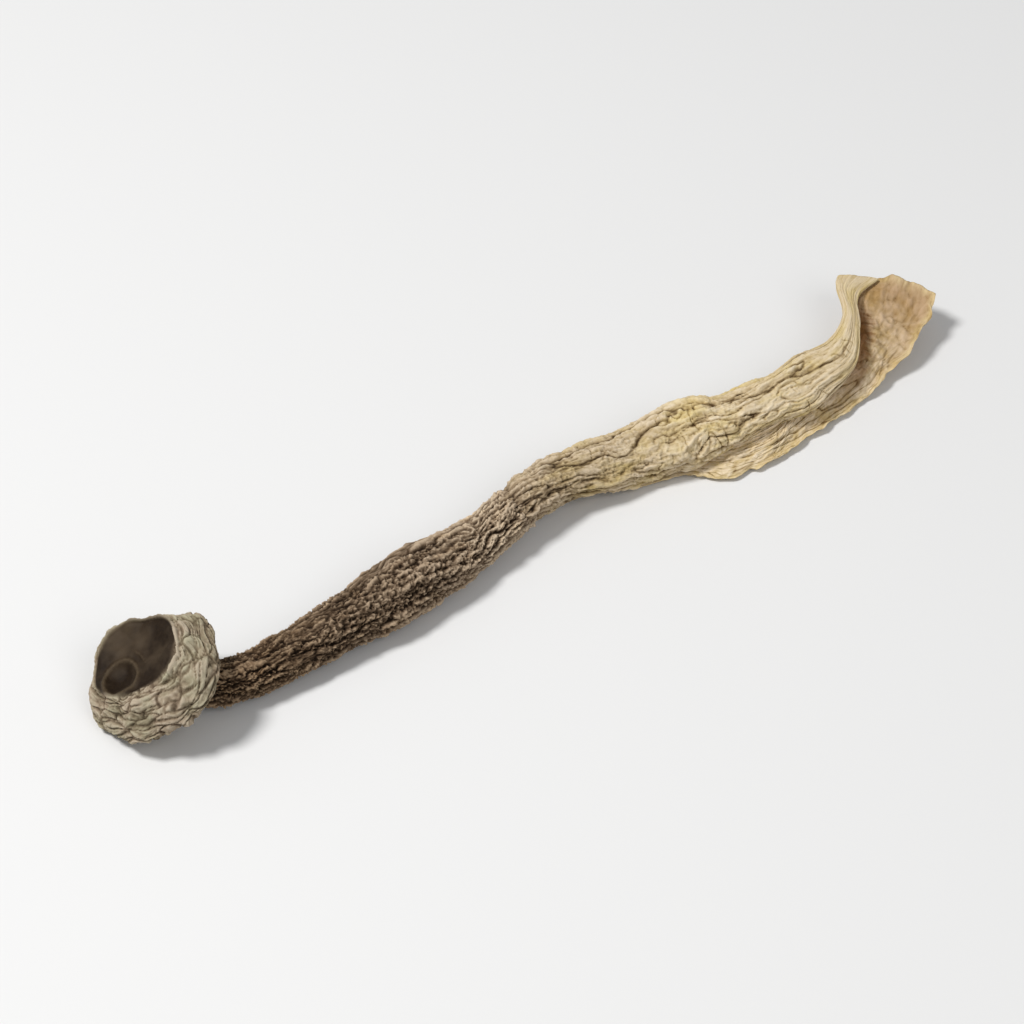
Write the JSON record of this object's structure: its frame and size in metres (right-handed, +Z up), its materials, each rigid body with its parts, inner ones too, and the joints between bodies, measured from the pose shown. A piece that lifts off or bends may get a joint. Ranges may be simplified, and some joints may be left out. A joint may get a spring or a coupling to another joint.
{
  "type": "dried deer antler mushroom",
  "caption": "Dried deer antler mushroom lying on its side: small dished cap, long wrinkled stem, folded leaf-like root end.",
  "frame": {"origin": "under the middle of the mushroom, on the surface it lies on", "axes": "+X along the stem from the cap to the root end, +Y sideways, +Z up"},
  "size_m": [0.1398, 0.0206, 0.0126],
  "materials": {
    "mushroom": "matt, dry and fibrous: straw coloured at the root end, dark grey-brown towards the cap"
  },
  "bodies": {
    "root": {"mushroom": "mushroom"}
  },
  "joints": []
}
